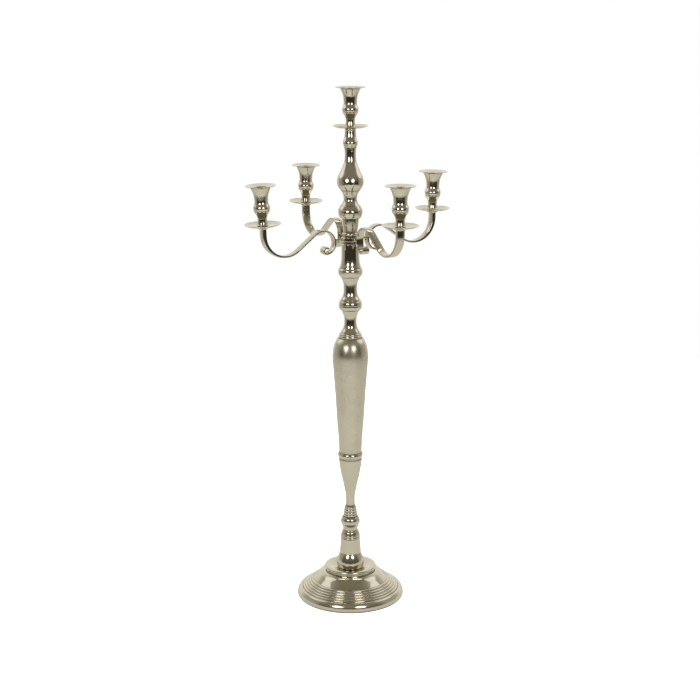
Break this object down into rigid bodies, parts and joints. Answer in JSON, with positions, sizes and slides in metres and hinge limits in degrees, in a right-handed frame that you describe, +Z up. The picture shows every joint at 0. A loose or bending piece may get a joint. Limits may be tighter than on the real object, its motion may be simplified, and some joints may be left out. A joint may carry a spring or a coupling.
{
  "type": "candelabra",
  "caption": "Tall free-standing candelabra: ribbed round foot, turned column with a long vase, S-shaped strap arms on a ring, and flared candle cups over shallow drip pans.",
  "frame": {"origin": "centre of the foot's underside", "axes": "+Z up along the column; +X, +Y, -X and -Y along arms 1 to 4"},
  "size_m": [0.4363, 0.4327, 1.0053],
  "materials": {
    "polished_nickel": "cast aluminium, mirror-polished and nickel-plated",
    "satin_nickel": "cast aluminium, brushed in fine rings and nickel-plated",
    "steel": "zinc-plated threaded steel",
    "cast_iron": "rough cast, painted black",
    "felt": "black wool felt"
  },
  "bodies": {
    "stand": {"base_felt": "felt", "base_ballast": "cast_iron", "rod_washer": "steel", "rod_nut": "steel", "base_dish": "polished_nickel", "base_plinth": "polished_nickel", "bell_foot": "satin_nickel", "ball_knop": "polished_nickel", "ringed_neck": "polished_nickel", "vase_stem": "polished_nickel", "vase_bead": "polished_nickel", "vase_body": "satin_nickel", "vase_cap": "polished_nickel", "lower_knop": "polished_nickel", "column_sleeve": "polished_nickel", "upper_socket": "polished_nickel", "upper_knop": "polished_nickel", "pear_knop": "polished_nickel", "top_knob": "polished_nickel", "tie_rod": "steel"},
    "arm_cluster": {"arm_ring": "polished_nickel", "arm_1": "polished_nickel", "arm_2": "polished_nickel", "arm_3": "polished_nickel", "arm_4": "polished_nickel", "arm_peg_1": "steel", "arm_peg_2": "steel", "arm_peg_3": "steel", "arm_peg_4": "steel"},
    "pan_1": {"drip_pan_1": "polished_nickel"},
    "cup_1": {"candle_cup_1": "polished_nickel", "cup_stud_1": "steel", "cup_ferrule_1": "polished_nickel"},
    "pan_2": {"drip_pan_2": "polished_nickel"},
    "cup_2": {"candle_cup_2": "polished_nickel", "cup_stud_2": "steel", "cup_ferrule_2": "polished_nickel"},
    "pan_3": {"drip_pan_3": "polished_nickel"},
    "cup_3": {"candle_cup_3": "polished_nickel", "cup_stud_3": "steel", "cup_ferrule_3": "polished_nickel"},
    "pan_4": {"drip_pan_4": "polished_nickel"},
    "cup_4": {"candle_cup_4": "polished_nickel", "cup_stud_4": "steel", "cup_ferrule_4": "polished_nickel"},
    "pan_5": {"drip_pan_5": "polished_nickel"},
    "cup_5": {"candle_cup_5": "polished_nickel", "cup_stud_5": "steel", "cup_ferrule_5": "polished_nickel"}
  },
  "joints": [
    {"name": "arm_ring_turn", "type": "hinge", "parent": "stand", "child": "arm_cluster", "pos_m": [0, 0, 0.72], "axis": [0, 0, 1], "continuous": true},
    {"name": "cup_1_rise", "type": "slide", "parent": "arm_cluster", "child": "pan_1", "axis": [0.0157, 0, 0.9999], "range_m": [0, 0.0096]},
    {"name": "cup_1_unscrew", "type": "hinge", "parent": "pan_1", "child": "cup_1", "pos_m": [0.18313, 0, 0.7586], "axis": [0.0157, 0, 0.9999], "range_deg": [0, 4320]},
    {"name": "cup_2_rise", "type": "slide", "parent": "arm_cluster", "child": "pan_2", "axis": [0, -0.014, 0.9999], "range_m": [0, 0.0096]},
    {"name": "cup_2_unscrew", "type": "hinge", "parent": "pan_2", "child": "cup_2", "pos_m": [0, 0.18191, 0.7635], "axis": [0, -0.014, 0.9999], "range_deg": [0, 4320]},
    {"name": "cup_3_rise", "type": "slide", "parent": "arm_cluster", "child": "pan_3", "axis": [-0.0471, 0, 0.9989], "range_m": [0, 0.0096]},
    {"name": "cup_3_unscrew", "type": "hinge", "parent": "pan_3", "child": "cup_3", "pos_m": [-0.18426, 0, 0.75338], "axis": [-0.0471, 0, 0.9989], "range_deg": [0, 4320]},
    {"name": "cup_4_rise", "type": "slide", "parent": "arm_cluster", "child": "pan_4", "axis": [0, 0, 1], "range_m": [0, 0.0096]},
    {"name": "cup_4_unscrew", "type": "hinge", "parent": "pan_4", "child": "cup_4", "pos_m": [0, -0.1825, 0.7612], "axis": [0, 0, 1], "range_deg": [0, 4320]},
    {"name": "cup_5_rise", "type": "slide", "parent": "stand", "child": "pan_5", "axis": [0, 0, 1], "range_m": [0, 0.0096]},
    {"name": "cup_5_unscrew", "type": "hinge", "parent": "pan_5", "child": "cup_5", "pos_m": [0, 0, 0.9253], "axis": [0, 0, 1], "range_deg": [0, 4320]}
  ],
  "couplings": [
    {"joint": "cup_1_unscrew", "follows": "cup_1_rise", "rad_per_m": 7854},
    {"joint": "cup_2_unscrew", "follows": "cup_2_rise", "rad_per_m": 7854},
    {"joint": "cup_3_unscrew", "follows": "cup_3_rise", "rad_per_m": 7854},
    {"joint": "cup_4_unscrew", "follows": "cup_4_rise", "rad_per_m": 7854},
    {"joint": "cup_5_unscrew", "follows": "cup_5_rise", "rad_per_m": 7854}
  ]
}
